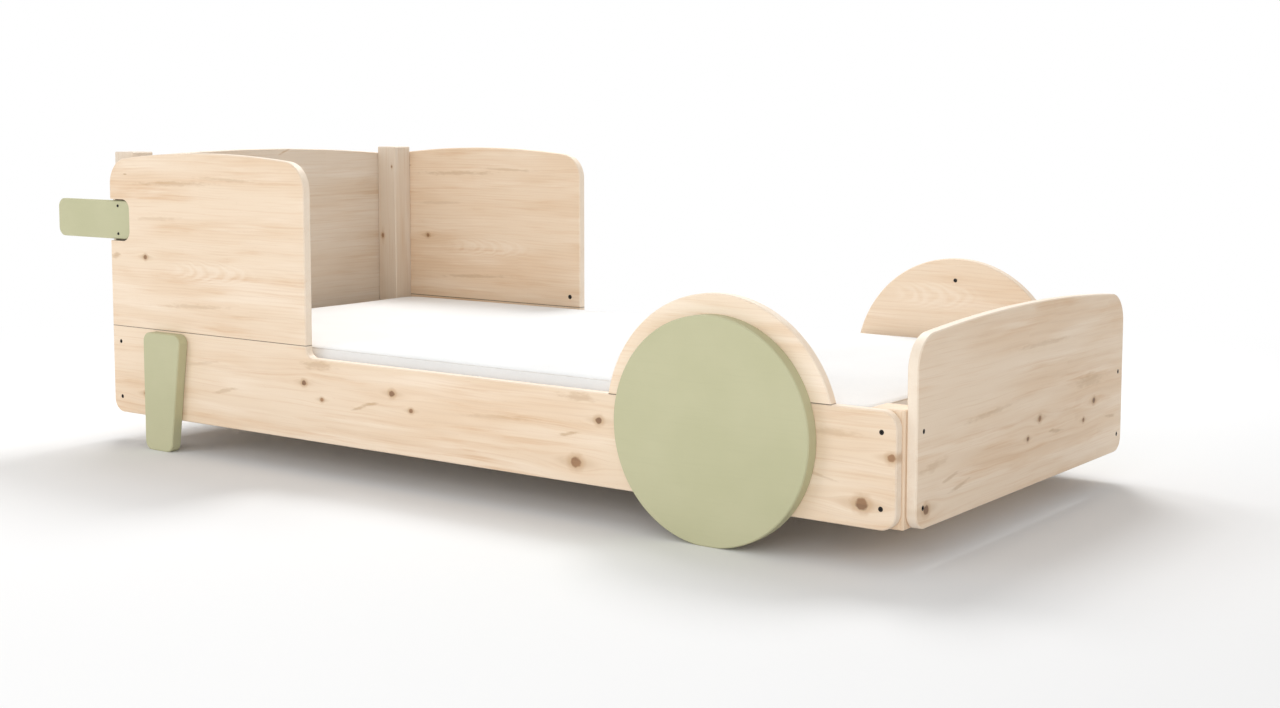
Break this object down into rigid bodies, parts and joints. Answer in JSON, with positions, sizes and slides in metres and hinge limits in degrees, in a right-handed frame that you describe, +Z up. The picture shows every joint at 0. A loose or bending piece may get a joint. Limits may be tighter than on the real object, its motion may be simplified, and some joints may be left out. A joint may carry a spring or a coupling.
{
  "type": "kids single bed",
  "caption": "Child's single bed of pale clear-finished wood, shaped like a tractor with sage-green painted wheel discs, legs and tail plates, arched side panels and a white mattress.",
  "frame": {"origin": "on the floor, under the middle of the whole length and width (the bounding box's bottom centre)", "axes": "+X towards the foot end along the bed's length, -Y towards the near side of the picture, +Z up"},
  "size_m": [2.248, 1.004, 0.668],
  "materials": {
    "clear_wood": "satin",
    "green_paint": "matte",
    "mattress_cover": "matte",
    "webbing": "matte",
    "black_steel": "satin"
  },
  "bodies": {
    "frame": {"near_side_rail": "clear_wood", "far_side_rail": "clear_wood", "near_guard_panel": "clear_wood", "far_guard_panel": "clear_wood", "near_head_post": "clear_wood", "far_head_post": "clear_wood", "near_foot_post": "clear_wood", "far_foot_post": "clear_wood", "headboard": "clear_wood", "footboard": "clear_wood", "near_fender": "clear_wood", "far_fender": "clear_wood", "near_slat_ledge": "clear_wood", "far_slat_ledge": "clear_wood", "near_wheel_disc": "green_paint", "far_wheel_disc": "green_paint", "near_leg": "green_paint", "far_leg": "green_paint", "near_tail_plate": "green_paint", "far_tail_plate": "green_paint", "rail_bolts": "black_steel", "headboard_bolts": "black_steel", "footboard_bolts": "black_steel"},
    "slatted_base": {"slat_01": "clear_wood", "slat_02": "clear_wood", "slat_03": "clear_wood", "slat_04": "clear_wood", "slat_05": "clear_wood", "slat_06": "clear_wood", "slat_07": "clear_wood", "slat_08": "clear_wood", "slat_09": "clear_wood", "slat_10": "clear_wood", "slat_11": "clear_wood", "slat_12": "clear_wood", "slat_13": "clear_wood", "slat_14": "clear_wood", "near_slat_strap": "webbing", "far_slat_strap": "webbing"},
    "mattress": {"mattress": "mattress_cover"}
  },
  "joints": [
    {"name": "base_lift", "type": "slide", "parent": "frame", "child": "slatted_base", "axis": [0, 0, 1], "range_m": [0, 0.55]},
    {"name": "mattress_lift", "type": "slide", "parent": "slatted_base", "child": "mattress", "axis": [0, 0, 1], "range_m": [0, 0.55]}
  ]
}
